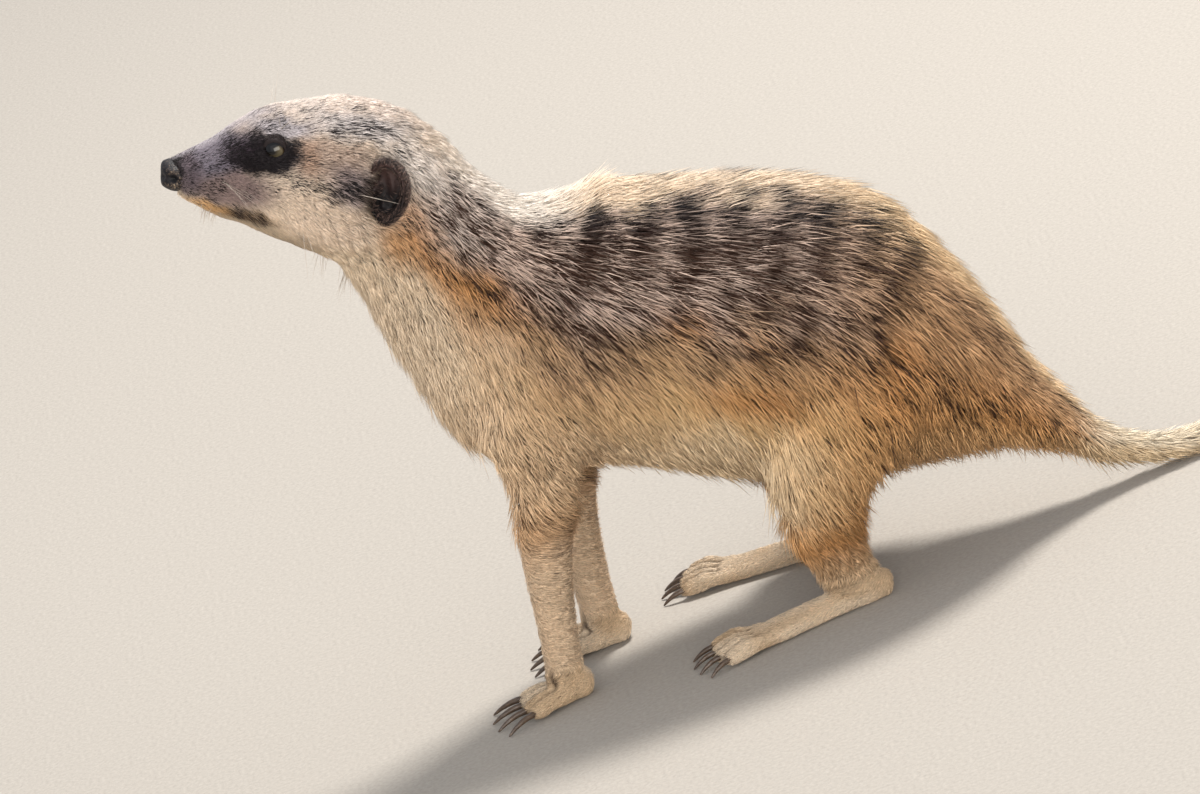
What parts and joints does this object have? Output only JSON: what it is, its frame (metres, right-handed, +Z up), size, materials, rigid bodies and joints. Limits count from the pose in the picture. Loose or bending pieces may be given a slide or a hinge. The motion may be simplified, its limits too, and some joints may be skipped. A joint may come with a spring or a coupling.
{
  "type": "meerkat",
  "caption": "Life-size standing meerkat model: forelegs straight, haunches low, head raised, tail laid flat behind it on the ground.",
  "frame": {"origin": "on the ground, under the centre of the bounding box", "axes": "+X from the head towards the tail, -Y the animal's own left side, +Z up"},
  "size_m": [0.3974, 0.0888, 0.1777],
  "materials": {
    "coat": "soft matt fur, grizzled tan with dark brown bands over the back",
    "pale_coat": "short matt cream fur",
    "dark_coat": "short matt brown-black fur",
    "nose": "moist black skin",
    "eye": "polished dark brown",
    "claw": "satin brown-black horn"
  },
  "bodies": {
    "root": {"neck": "coat", "chest": "coat", "belly": "coat", "hips": "coat", "tail_root": "coat", "tail_middle": "coat", "tail_end": "coat", "foreleg_left": "coat", "thigh_left": "coat", "shank_left": "coat", "foreleg_right": "coat", "thigh_right": "coat", "shank_right": "coat", "head": "pale_coat", "lower_jaw": "pale_coat", "forefoot_left": "pale_coat", "hindfoot_left": "pale_coat", "forefoot_right": "pale_coat", "hindfoot_right": "pale_coat", "ear_left": "dark_coat", "ear_right": "dark_coat", "tail_tip": "dark_coat", "nose": "nose", "eye_left": "eye", "eye_right": "eye", "claw_forefoot_left_1": "claw", "claw_forefoot_left_2": "claw", "claw_forefoot_left_3": "claw", "claw_forefoot_left_4": "claw", "claw_hindfoot_left_1": "claw", "claw_hindfoot_left_2": "claw", "claw_hindfoot_left_3": "claw", "claw_hindfoot_left_4": "claw", "claw_forefoot_right_1": "claw", "claw_forefoot_right_2": "claw", "claw_forefoot_right_3": "claw", "claw_forefoot_right_4": "claw", "claw_hindfoot_right_1": "claw", "claw_hindfoot_right_2": "claw", "claw_hindfoot_right_3": "claw", "claw_hindfoot_right_4": "claw"}
  },
  "joints": []
}
